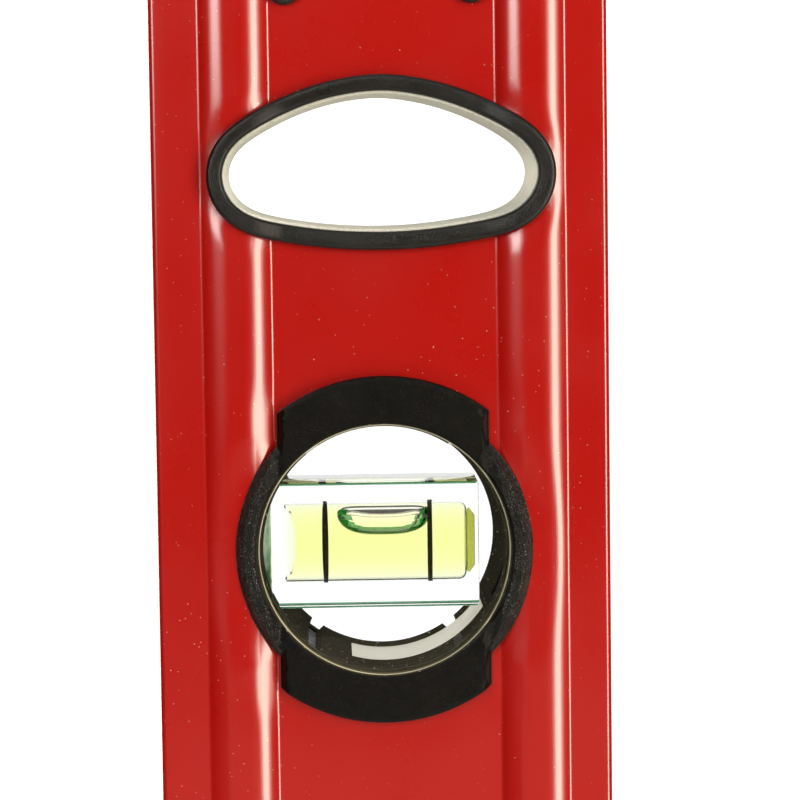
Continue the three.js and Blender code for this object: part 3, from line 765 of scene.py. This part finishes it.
# ---- plumb vial surrounds -----------------------------------------------------------------------------------------------
WALL_R = 16.1
def build_surround(end, face):
    sy = -1 if face == "front" else 1
    zc = PLUMB_Z[end]
    plate = RIDGE + 0.15
    crest = SURR_Y - 0.15
    rings = []
    for t in surround_angles():
        c, s_ = math.cos(t), math.sin(t)
        ro = surround_radius(t)
        ring = []
        def top(r):
            """Height of the face at radius r: a rounded bead on the ring, a flat plate on the shoulders."""
            x = abs(r * c)
            u = max(0.0, min(1.0, (r - LIP_R) / (RING_R - LIP_R)))
            bead = crest - 1.5 * abs(2 * u - 0.9) ** 2.4 * (1.0 if u > 0.45 else 0.55)
            dip = plate - 0.42
            if x < 13.15:
                return plate
            if x < 13.75:
                return plate + (min(bead, dip) - plate) * (x - 13.15) / 0.6
            return min(bead, dip) + (bead - min(bead, dip)) * smoothstep(13.75, 15.6, x)
        def pt(r, y):
            ring.append((r * c, sy * y, zc + r * s_))
        side = relief(ro * c) - 0.6
        pt(ro - 0.02, 8.6)
        pt(ro, min(side, top(ro) - 0.5))
        e = 0.28
        pt(ro, top(ro - e) - e)
        pt(ro - e * 0.3, top(ro - e) - e * 0.3)
        pt(ro - e, top(ro - e))
        n = 14
        li = LIP_R + 0.32
        radii = [ro - e + (li - ro + e) * i / n for i in range(1, n)]
        free = list(range(len(radii)))
        for edge_x in (13.15, 13.75):
            # a row of points runs along each edge of the step, so that it stays straight
            target = edge_x / max(abs(c), 0.05)
            if li + 0.04 < target < ro - e - 0.02:
                j = min(free, key=lambda q: abs(radii[q] - target))
                radii[j] = target
                free.remove(j)
        for r in sorted(radii, reverse=True):
            pt(r, top(r))
        pt(li, top(li))
        pt(LIP_R + 0.1, top(li) - 0.1)
        pt(LIP_R, top(li) - 0.34)
        pt(LIP_R, 10.42)
        pt(LIP_R, 9.3)
        notch = any(abs(((math.degrees(t) - a + 180) % 360) - 180) < 2.9 for a in (54.5, 125.5, 234.5, 305.5))
        pocket = abs(WALL_R * s_) < 8.1
        wr = 17.4 if pocket and abs(c) > 0.3 else (16.95 if notch else WALL_R)
        if face == "back":
            fl = 16.9 if notch else 15.45
            pt(fl, 9.2)
            pt(fl, 8.3)
            pt(max(wr, fl + 0.001), 8.0)
        else:
            pt(LIP_R + 0.01, 7.3)
            pt(max(WALL_R, wr - 0.02) if notch else WALL_R, 7.15)
            pt(wr, 6.9)
        pt(wr, 0.1)
        pt(ro - 0.02, 0.1)
        rings.append(ring)
    v, f = loft(rings)
    ob = obj_from(f"{end}_vial_{face}_bezel", v, f, BLACK_GRAIN, 32)
    ob.data.materials.append(BLACK_SMOOTH)
    ob.data.materials.append(BLACK_WALL)
    for p in ob.data.polygons:
        x, y, z = p.center.x / MM, abs(p.center.y) / MM, p.center.z / MM - zc
        r = math.hypot(x, z)
        if r < LIP_R + 0.06:
            p.material_index = 2
        elif abs(x) < 13.9 and abs(z) > 9 or y < 11.0 or r < LIP_R + 0.5:
            p.material_index = 1
    put(ob, "black_plastic", f"{end}_plumb_{face}_surround")


def build_lens(end, face):
    sy = -1 if face == "front" else 1
    zc = PLUMB_Z[end]
    rl = 16.34 if face == "front" else 17.3
    prof = [(0, sy * 9.2), (rl, sy * 9.2), (rl, sy * 10.4), (0, sy * 10.4)]
    v, f = lathe(prof, 96, "y", (0, 0, zc))
    ob = obj_from(f"{end}_vial_{face}_lens", v, f, LENS, 30)
    ob.data.materials.append(EDGE_IN)
    for p in ob.data.polygons:
        if 9.3 < abs(p.center.y) / MM < 10.3:
            p.material_index = 1
    put(ob, "clear_lens", f"{end}_plumb_{face}_lens")
    # polished edge of the lens where it meets the lip, drawn opaque in painted highlight and painted shade colours
    back = 8.3 if face == "front" else 10.45
    prof = [(16.69, sy * back), (16.69, sy * 11.5), (16.64, sy * 11.56), (16.54, sy * 11.45), (16.38, sy * back), (16.69, sy * back)]
    v, f = lathe(prof, 128, "y", (0, 0, zc))
    ob = obj_from(f"{end}_vial_{face}_lens_edge", v, f, EDGE, 30)
    ob.data.materials.append(EDGE_IN)
    for p in ob.data.polygons:
        if abs(p.center.y) / MM < 11.40:
            p.material_index = 1
    return put(ob, "clear_lens")


FL_X0, FL_X1 = -12.9, 10.98
VR = 5.12
BUB_X, BUB_L = 0.05, 6.15
MARKS = (-7.65, 6.12)

BUBBLE_SECTION = [(2.70, 0.82), (3.28, 1.42), (3.66, 2.02), (3.84, 2.60), (3.82, 3.00), (3.60, 3.36), (3.15, 3.62), (2.45, 3.80), (1.30, 3.90), (0.0, 3.92)]   # (across, depth below the crest)


def bubble_mesh(name, half_len, r_bore, place, mat):
    """An air bubble under the top of a round bore: its top follows the bore, its sides are round and its underside is a shallow bowl.
    place maps (along, across, up) to the frame."""
    nu = 64
    r = r_bore - 0.24
    rings = []
    for i in range(1, nu):
        u = -math.cos(math.pi * i / nu)
        k = (1 - abs(u) ** 2.9) ** (1 / 2.0)
        low = (1 - abs(u) ** 3.0) ** (1 / 2.05)
        top = (1 - abs(u) ** 9.0) ** (1 / 2.0)
        ring = []
        def side(y, d):
            ring.append((u * half_len, y * k, r - 1.1 - (d - 1.1) * (low if d > 1.1 else top)))
        def roof(y):
            y *= k
            ring.append((u * half_len, y, math.sqrt(r * r - y * y) - 1.1 * (1 - top)))
        for y, d in BUBBLE_SECTION[1:]:
            side(-y, d)
        for y, d in BUBBLE_SECTION[-2:0:-1]:
            side(y, d)
        for j in range(17):
            roof(2.7 * math.cos(math.pi * j / 16))
        rings.append(ring)
    k = len(rings[0])
    verts, faces = loft(rings, False, True)
    zt = r - 1.1
    n0 = len(verts)
    verts += [(-half_len, 0, zt), (half_len, 0, zt)]
    for a in range(k):
        faces.append((a, (a + 1) % k, n0))
        faces.append(((len(rings) - 1) * k + a, (len(rings) - 1) * k + (a + 1) % k, n0 + 1))
    verts = [place(*v) for v in verts]
    ob = obj_from(name, verts, faces, mat, 70)
    ob.data.materials.append(BUBBLE_RIM_SHADE)
    cx_, cy_, cz_ = place(0, 0, r * 0.75)
    # the sides and underside take the dark green glass: painted shade
    for p in ob.data.polygons:
        up = Vector(place(0, 0, 1)) - Vector(place(0, 0, 0))
        if abs(p.normal.y) < 0.80 and p.normal.dot(up) < 0.35:
            p.material_index = 1
    return ob


def build_vial(end):
    zc = PLUMB_Z[end]
    key = f"{end}_plumb"
    lo, hi = cad(f"{key}_vial_block")
    split = lo[0] + 1.05
    put(acrylic(f"{end}_vial_acrylic", [split, lo[1], lo[2]], hi, 0), "clear_acrylic", f"{key}_vial_block")
    tongue = obj_from(f"{end}_vial_tongue", *bevel_box([lo[0], lo[1] + 0.1, zc - 5.7], [split - 0.04, hi[1] - 0.1, zc + 5.7], 0.12), GREEN_FROST, 30)
    put(tongue, "clear_acrylic", f"{key}_vial_block")
    # fluid: drilled end with a centre point and an outer groove, and a dished end against the plug
    prof = [(0, FL_X0 + 1.02), (1.2, FL_X0 + 1.08), (2.0, FL_X0 + 1.26), (2.5, FL_X0 + 1.24), (4.2, FL_X0 + 0.75), (4.8, FL_X0 + 0.2), (VR, FL_X0),
            (VR, FL_X1 - 1.0), (VR - 0.08, FL_X1 - 0.62), (VR - 0.29, FL_X1 - 0.29), (VR - 0.62, FL_X1 - 0.08), (VR - 1.0, FL_X1), (0, FL_X1)]
    v, f = lathe(prof, 96, "x", (0, 0, zc))
    put(obj_from(f"{end}_vial_liquid", v, f, FLUID, 35), "vial_fluid", f"{key}_fluid")
    prof = [(0, FL_X1 + 0.03), (4.1, FL_X1 + 0.03), (4.3, FL_X1 + 0.18), (4.15, FL_X1 + 0.4), (3.2, FL_X1 + 1.05), (0, FL_X1 + 1.05)]
    v, f = lathe(prof, 64, "x", (0, 0, zc))
    put(obj_from(f"{end}_vial_stopper", v, f, PLUG, 35), "vial_plug", f"{key}_vial_plug")
    for i, x in enumerate(MARKS):
        w = (0.24, 0.30)[i]
        prof = [(VR + 0.02, x - w), (VR + 0.16, x - w), (VR + 0.16, x + w), (VR + 0.02, x + w), (VR + 0.02, x - w)]
        v, f = lathe(prof, 96, "x", (0, 0, zc))
        put(obj_from(f"{end}_vial_line_{i + 1}", v, f, MARK, 30), "marker", f"{key}_marker_ring_{i + 1}")
    ob = bubble_mesh(f"{end}_vial_air", BUB_L, VR, lambda a, c, u: (BUB_X + a, c, zc + u), BUBBLE)
    put(ob, "vial_bubble", f"{key}_bubble", body=f"{key}_bubble")
    # pale strip on the inner wall behind the vial, brighter than the pale plastic and glowing warm: painted light
    rings = []
    for i in range(49):
        t = math.radians(-106 + (106 - 34) * i / 48)
        rings.append([((WALL_R - d) * math.cos(t), y, zc + (WALL_R - d) * math.sin(t)) for d, y in ((0.02, -2.4), (0.12, -2.4), (0.12, 7.8), (0.02, 7.8))])
    v, f = loft(rings, False, True, True)
    put(obj_from(f"{end}_vial_strip", v, f, LIT_STRIP, 30), "pale_plastic")


def acrylic(name, lo, hi, along):
    """The clear block, with its four long edges in dark green glass: painted shade for the dark lines a clear block
    shows along its edges.
    """
    ob = obj_from(name, *bevel_box(lo, hi, 0.28), BLOCK, 30)
    ob.data.materials.append(GREEN_EDGE)
    for p in ob.data.polygons:
        n = [abs(c) for c in p.normal]
        if n[along] < 0.2 and sorted(n)[1] > 0.2:
            p.material_index = 1
    return ob


def bevel_box(lo, hi, r):
    x0, y0, z0 = lo
    x1, y1, z1 = hi
    verts, faces = [], []
    bm = bmesh.new()
    bmesh.ops.create_cube(bm, size=1.0)
    for v in bm.verts:
        v.co = Vector(((x0 + x1) / 2 + v.co.x * (x1 - x0), (y0 + y1) / 2 + v.co.y * (y1 - y0), (z0 + z1) / 2 + v.co.z * (z1 - z0)))
    bmesh.ops.bevel(bm, geom=bm.edges[:], offset=r, segments=2, affect="EDGES", profile=0.5)
    bm.verts.index_update()
    verts = [tuple(v.co) for v in bm.verts]
    faces = [tuple(v.index for v in f.verts) for f in bm.faces]
    bm.free()
    return verts, faces

# ---- level vial ---------------------------------------------------------------------------------------------------------
def build_level():
    cx, cz = LEVEL_X, LEVEL_Z
    hx, hz = 13.0, 33.0
    path_n = 26
    def outline(inset):
        r = max(9.0 - inset, 0.8)
        o = rounded_rect(hx - inset, hz - inset, r, path_n, cx, cz)
        # the loop closes along its +X side, going up: points there carry the window towards the top edge
        return o + [(cx + hx - inset, cz + z) for z in (-21.05, -21.0, 21.0, 21.05)]
    lip_in = 4.4
    for face, sy in (("front", -1), ("back", 1)):
        stations = [(0.0, 8.6), (0.0, SURR_Y - 0.9), (0.10, SURR_Y - 0.55), (0.35, SURR_Y - 0.25), (0.8, SURR_Y - 0.07), (1.5, SURR_Y), (2.4, SURR_Y - 0.06),
                    (3.3, SURR_Y - 0.3), (lip_in - 0.35, SURR_Y - 0.75), (lip_in - 0.08, SURR_Y - 0.9), (lip_in, SURR_Y - 1.2), (lip_in, 10.42), (lip_in, 9.3),
                    (lip_in + 0.3, 9.1), (lip_in + 0.3, 0.1), (0.0, 0.1)]
        loops = [outline(i) for i, _ in stations]
        rings = []
        for k in range(len(loops[0])):
            x, z = loops[0][k]
            open_side = x > cx + 12.9 and abs(z - cz) < 21.02
            rings.append([(loops[j][k][0], sy * (5.4 if open_side and stations[j][1] < 1 else stations[j][1]), loops[j][k][1]) for j in range(len(stations))])
        v, f = loft(rings)
        ob = obj_from(f"level_{face}_bezel", v, f, BLACK_GRAIN, 32)
        ob.data.materials.append(PALE)
        for p in ob.data.polygons:
            c = p.center / MM
            if abs(c.x - cx) < hx - 4.5 and abs(c.z - cz) < hz - 4.5 and abs(c.y) < 9.0:
                p.material_index = 1
        put(ob, "black_plastic", f"level_{face}_surround")
        o = outline(lip_in - 0.4)
        n = len(o)
        v = [(x, sy * 9.2, z) for x, z in o] + [(x, sy * 10.4, z) for x, z in o]
        f = [(i, (i + 1) % n, n + (i + 1) % n, n + i) for i in range(n)] + [tuple(range(n)), tuple(range(n, 2 * n))]
        put(obj_from(f"level_{face}_pane", v, f, LENS, 30), "clear_lens", f"level_{face}_lens")
    lo, hi = cad("level_vial_block")
    put(acrylic("level_acrylic", lo, hi, 2), "clear_acrylic", "level_vial_block")
    z0, z1 = cad("level_fluid")[0][2], cad("level_fluid")[1][2]
    prof = [(0, z0 + 0.55), (0.9, z0 + 0.85), (2.1, z0 + 1.5), (2.5, z0 + 1.35), (4.3, z0 + 1.1), (4.75, z0 + 0.1), (VR, z0), (VR, z1 - 0.5), (VR - 0.35, z1 - 0.1), (VR - 0.7, z1), (0, z1)]
    v, f = lathe(prof, 96, "z", (cx, 0, 0))
    put(obj_from("level_liquid", v, f, FLUID, 35), "vial_fluid", "level_fluid")
    prof = [(0, z1 + 0.03), (4.3, z1 + 0.03), (4.75, z1 + 0.25), (4.75, z1 + 6.9), (4.4, z1 + 7.3), (0, z1 + 7.3)]
    v, f = lathe(prof, 64, "z", (cx, 0, 0))
    put(obj_from("level_stopper", v, f, PLUG, 35), "vial_plug", "level_vial_plug")
    for i in (1, 2):
        z = mid(f"level_marker_ring_{i}")[2]
        prof = [(VR + 0.02, z - 0.22), (VR + 0.16, z - 0.22), (VR + 0.16, z + 0.22), (VR + 0.02, z + 0.22), (VR + 0.02, z - 0.22)]
        v, f = lathe(prof, 96, "z", (cx, 0, 0))
        put(obj_from(f"level_line_{i}", v, f, MARK, 30), "marker", f"level_marker_ring_{i}")
    bz = mid("level_bubble")[2]
    ob = bubble_mesh("level_air", 9.0, VR, lambda a, c, u: (cx + u, c, bz + a), BUBBLE)
    put(ob, "vial_bubble", "level_bubble", body="level_bubble")
    lo, hi = cad("level_edge_lens")
    el = hi[2] - cz - 2.3
    outer = [(-6.3, cz - el), (6.3, cz - el), (6.3, cz + el), (-6.3, cz + el)]
    o = fillet_poly(outer, 1.4, 6)
    n = len(o)
    v = [(HALF_H - 2.6, y, z) for y, z in o] + [(HALF_H - 0.35, y, z) for y, z in o] + [(HALF_H - 0.15, y * 0.97, cz + (z - cz) * 0.99) for y, z in o]
    f = [(i, (i + 1) % n, n + (i + 1) % n, n + i) for i in range(n)] + [(n + i, n + (i + 1) % n, 2 * n + (i + 1) % n, 2 * n + i) for i in range(n)]
    f += [tuple(range(n)), tuple(range(2 * n, 3 * n))]
    put(obj_from("level_edge_pane", v, f, LENS, 30), "clear_lens", "level_edge_lens")

# ---- end caps -------------------------------------------------------------------------------------------------------------
def build_cap(end):
    flip = end == "upper"
    lo, hi = cad("lower_end_cap")
    plate_h = PROFILE_Z[0] - 0.05
    def zz(z):
        return LENGTH - z if flip else z
    # moulded plate: rounded outer edges, a shallow dish in the end face, a parting step at the profile
    rings = []
    stations = [(6.5, 0.55), (6.2, 0.5), (5.2, 0.12), (4.6, 0.0), (2.2, 0.0), (1.4, 0.12), (0.75, 0.42), (0.28, 0.95), (0.05, 1.7), (0.0, 2.4), (0.0, plate_h - 1.0), (0.18, plate_h - 0.8), (0.18, plate_h),
                (2.1, plate_h), (2.3, plate_h + 0.3), (2.3, plate_h + 11.0), (2.9, plate_h + 11.8)]
    loops = []
    for inset, z in stations:
        hx, hy = HALF_H - inset, RIDGE - inset
        r = max(3.0 - inset * 0.8, 0.5)
        loops.append([(x, y, zz(z)) for x, y in rounded_rect(hx, hy, r, 10, 0, 0)])
    v, f = loft(loops, False, True, True)
    body = obj_from(f"{end}_cap_moulding", v, f, BLACK_CAP, 35)
    for face, sy in (("front", -1), ("back", 1)):
        for sx in (-1, 1):
            # lobe lying in the recessed web, its tip round in outline and in section
            prof_r = [(2.45, WEB + 0.02), (2.45, WEB + 0.75), (2.30, WEB + 1.1), (2.0, WEB + 1.33), (1.5, WEB + 1.45), (0.0, WEB + 1.5)]
            rings = []
            cxl, tipc = sx * 12.2, 14.55
            for i in range(33):
                a = math.pi * i / 32
                rings.append([(cxl + r * math.cos(a), sy * y, zz(tipc + r * math.sin(a))) for r, y in prof_r])
            top = [[(cxl + r, sy * y, zz(6.5)) for r, y in prof_r]]
            end_r = [[(cxl - r, sy * y, zz(6.5)) for r, y in prof_r]]
            rings = top + rings + end_r
            k = len(prof_r)
            vv, ff = loft(rings, False, False)
            n0 = len(vv)
            # underside and far end closed
            ff.append(tuple(i * k for i in range(len(rings))))
            ff.append(tuple([0 * k + j for j in range(k)] + [(len(rings) - 1) * k + j for j in range(k)][::-1]))
            lob = obj_from(f"{end}_cap_lobe_{face}_{'l' if sx < 0 else 'r'}", vv, ff, BLACK_CAP, 40)
            bm = bmesh.new()
            bm.from_mesh(body.data)
            bm.from_mesh(lob.data)
            bm.to_mesh(body.data)
            bm.free()
            bpy.data.objects.remove(lob)
    for p in body.data.polygons:
        p.use_smooth = True
    body.data.set_sharp_from_angle(angle=math.radians(35))
    put(body, "cap_rubber", f"{end}_end_cap")

# ---- light, floor ------------------------------------------------------------------------------------------------------------
def area(name, loc, target, size, power, color=(1, 1, 1), spread=180):
    l = bpy.data.lights.new(name, "AREA")
    l.spread = math.radians(spread)
    l.shape = "RECTANGLE"
    l.size, l.size_y = size
    l.energy = power
    l.color = color
    o = bpy.data.objects.new(name, l)
    scene.collection.objects.link(o)
    o.location = loc
    o.rotation_mode = "QUATERNION"
    o.rotation_quaternion = (Vector(target) - Vector(loc)).to_track_quat("-Z", "Y")
    o.visible_camera = False
    o.visible_transmission = False
    return o


def polar(az, dist, z):
    """A place az degrees to the right of the camera side, seen from above."""
    a = math.radians(az)
    return (math.sin(a) * dist, -math.cos(a) * dist, z)


def build_stage():
    w = bpy.data.worlds.new("studio")
    scene.world = w
    w.use_nodes = True
    nt = w.node_tree
    nt.nodes.clear()
    out = nt.nodes.new("ShaderNodeOutputWorld")
    dim = nt.nodes.new("ShaderNodeBackground")
    dim.inputs["Color"].default_value = (1.0, 0.99, 0.98, 1)
    dim.inputs["Strength"].default_value = 0.018
    bright = nt.nodes.new("ShaderNodeBackground")
    bright.inputs["Color"].default_value = (1, 1, 1, 1)
    bright.inputs["Strength"].default_value = 1.26
    mix = nt.nodes.new("ShaderNodeMixShader")
    lp = nt.nodes.new("ShaderNodeLightPath")
    mx = nt.nodes.new("ShaderNodeMath")
    mx.operation = "MAXIMUM"
    nt.links.new(lp.outputs["Is Camera Ray"], mx.inputs[0])
    direct = nt.nodes.new("ShaderNodeMath")
    direct.operation = "LESS_THAN"
    direct.inputs[1].default_value = 0.5
    nt.links.new(lp.outputs["Glossy Depth"], direct.inputs[0])
    through = nt.nodes.new("ShaderNodeMath")
    through.operation = "MULTIPLY"
    nt.links.new(lp.outputs["Is Transmission Ray"], through.inputs[0])
    nt.links.new(direct.outputs[0], through.inputs[1])
    nt.links.new(through.outputs[0], mx.inputs[1])
    # a white backdrop stands behind the object
    tc = nt.nodes.new("ShaderNodeTexCoord")
    sp = nt.nodes.new("ShaderNodeSeparateXYZ")
    nt.links.new(tc.outputs["Generated"], sp.inputs[0])
    rg = nt.nodes.new("ShaderNodeMapRange")
    rg.inputs["From Min"].default_value, rg.inputs["From Max"].default_value = 0.62, 0.80
    nt.links.new(sp.outputs["Y"], rg.inputs["Value"])
    def world_math(op, a, b):
        n = nt.nodes.new("ShaderNodeMath")
        n.operation = op
        for i, v in enumerate((a, b)):
            if isinstance(v, float):
                n.inputs[i].default_value = v
            else:
                nt.links.new(v, n.inputs[i])
        return n.outputs[0]
    # the middle of the backdrop doesn't wash out the gloss of the faces that look straight at it
    core = nt.nodes.new("ShaderNodeMapRange")
    core.inputs["From Min"].default_value, core.inputs["From Max"].default_value = 0.86, 0.93
    nt.links.new(sp.outputs["Y"], core.inputs["Value"])
    mirrored = world_math("MULTIPLY", lp.outputs["Is Glossy Ray"], world_math("LESS_THAN", lp.outputs["Transmission Depth"], 0.5))
    kept = world_math("SUBTRACT", 1.0, world_math("MULTIPLY", mirrored, core.outputs["Result"]))
    mx2 = nt.nodes.new("ShaderNodeMath")
    mx2.operation = "MAXIMUM"
    nt.links.new(mx.outputs[0], mx2.inputs[0])
    nt.links.new(world_math("MULTIPLY", rg.outputs["Result"], kept), mx2.inputs[1])
    nt.links.new(mx2.outputs[0], mix.inputs[0])
    nt.links.new(dim.outputs[0], mix.inputs[1])
    nt.links.new(bright.outputs[0], mix.inputs[2])
    nt.links.new(mix.outputs[0], out.inputs["Surface"])
    # floor: a pale disc that fades out at its rim
    rings = []
    for r in (0.0001, 0.15, 0.35, 0.6, 0.85, 1.1):
        rings.append([(r * math.cos(2 * math.pi * i / 64) / MM, r * math.sin(2 * math.pi * i / 64) / MM, -0.05) for i in range(64)])
    v, f = loft(rings, False, True)
    mt = Mat("floor").set(Roughness=0.75)
    mt.color(mt.ramp(mt.noise(6, 2), [(0.3, (0.80, 0.80, 0.79)), (0.7, (0.84, 0.84, 0.83))]))
    ln = mt.node("ShaderNodeVectorMath", operation="LENGTH")
    mt.link(mt.coord, ln.inputs[0])
    fade = mt.ramp(ln.outputs["Value"], [(0.45, 0.0), (1.0, 1.0)])
    tr = mt.node("ShaderNodeBsdfTransparent")
    mxs = mt.node("ShaderNodeMixShader")
    mt.link(fade, mxs.inputs[0])
    mt.link(mt.bsdf.outputs[0], mxs.inputs[1])
    mt.link(tr.outputs[0], mxs.inputs[2])
    mt.link(mxs.outputs[0], mt.out.inputs["Surface"])
    fl = obj_from("floor", v, f, mt.m, 0)
    aim = (0, 0, 0.30)
    warm, soft = (1.0, 0.92, 0.76), (1.0, 0.97, 0.91)
    area("key", polar(43, 1.0, 0.36), (0, 0, 0.32), (0.27, 1.0), 10.4, warm)
    area("key_wings", polar(43, 1.0, 0.36), (0, 0, 0.32), (0.52, 1.0), 4.8, warm)
    area("fill", polar(-28, 1.1, 0.66), (0, 0, 0.34), (0.36, 0.50), 5.8, soft)
    area("fill_wings", polar(-28, 1.1, 0.66), (0, 0, 0.34), (0.60, 0.60), 3.2, soft)
    area("low", (0.0, -1.0, 0.03), (0, 0, 0.27), (0.9, 0.22), 0.17, (1.0, 0.88, 0.70))
    area("foot", (0.0, -0.25, 0.03), (0, 0, 0.235), (0.3, 0.06), 0.034, soft, 30)
    area("high", (0.0, -0.25, 0.60), (0, 0, 0.41), (0.3, 0.06), 0.020, soft, 30)
    area("key_back", polar(180 + 43, 1.0, 0.36), (0, 0, 0.32), (0.30, 1.0), 6.0, warm)
    area("fill_back", polar(180 - 30, 1.1, 0.66), (0, 0, 0.34), (0.4, 0.56), 2.0, soft)
    area("top", (0.0, -0.30, 1.5), (0, 0, 0.2), (0.8, 0.8), 3)


build_stage()
build_profile()
for e in ("upper", "lower"):
    build_hole(e)
    for fc in ("front", "back"):
        build_surround(e, fc)
        build_lens(e, fc)
    build_vial(e)
    build_cap(e)
build_level()
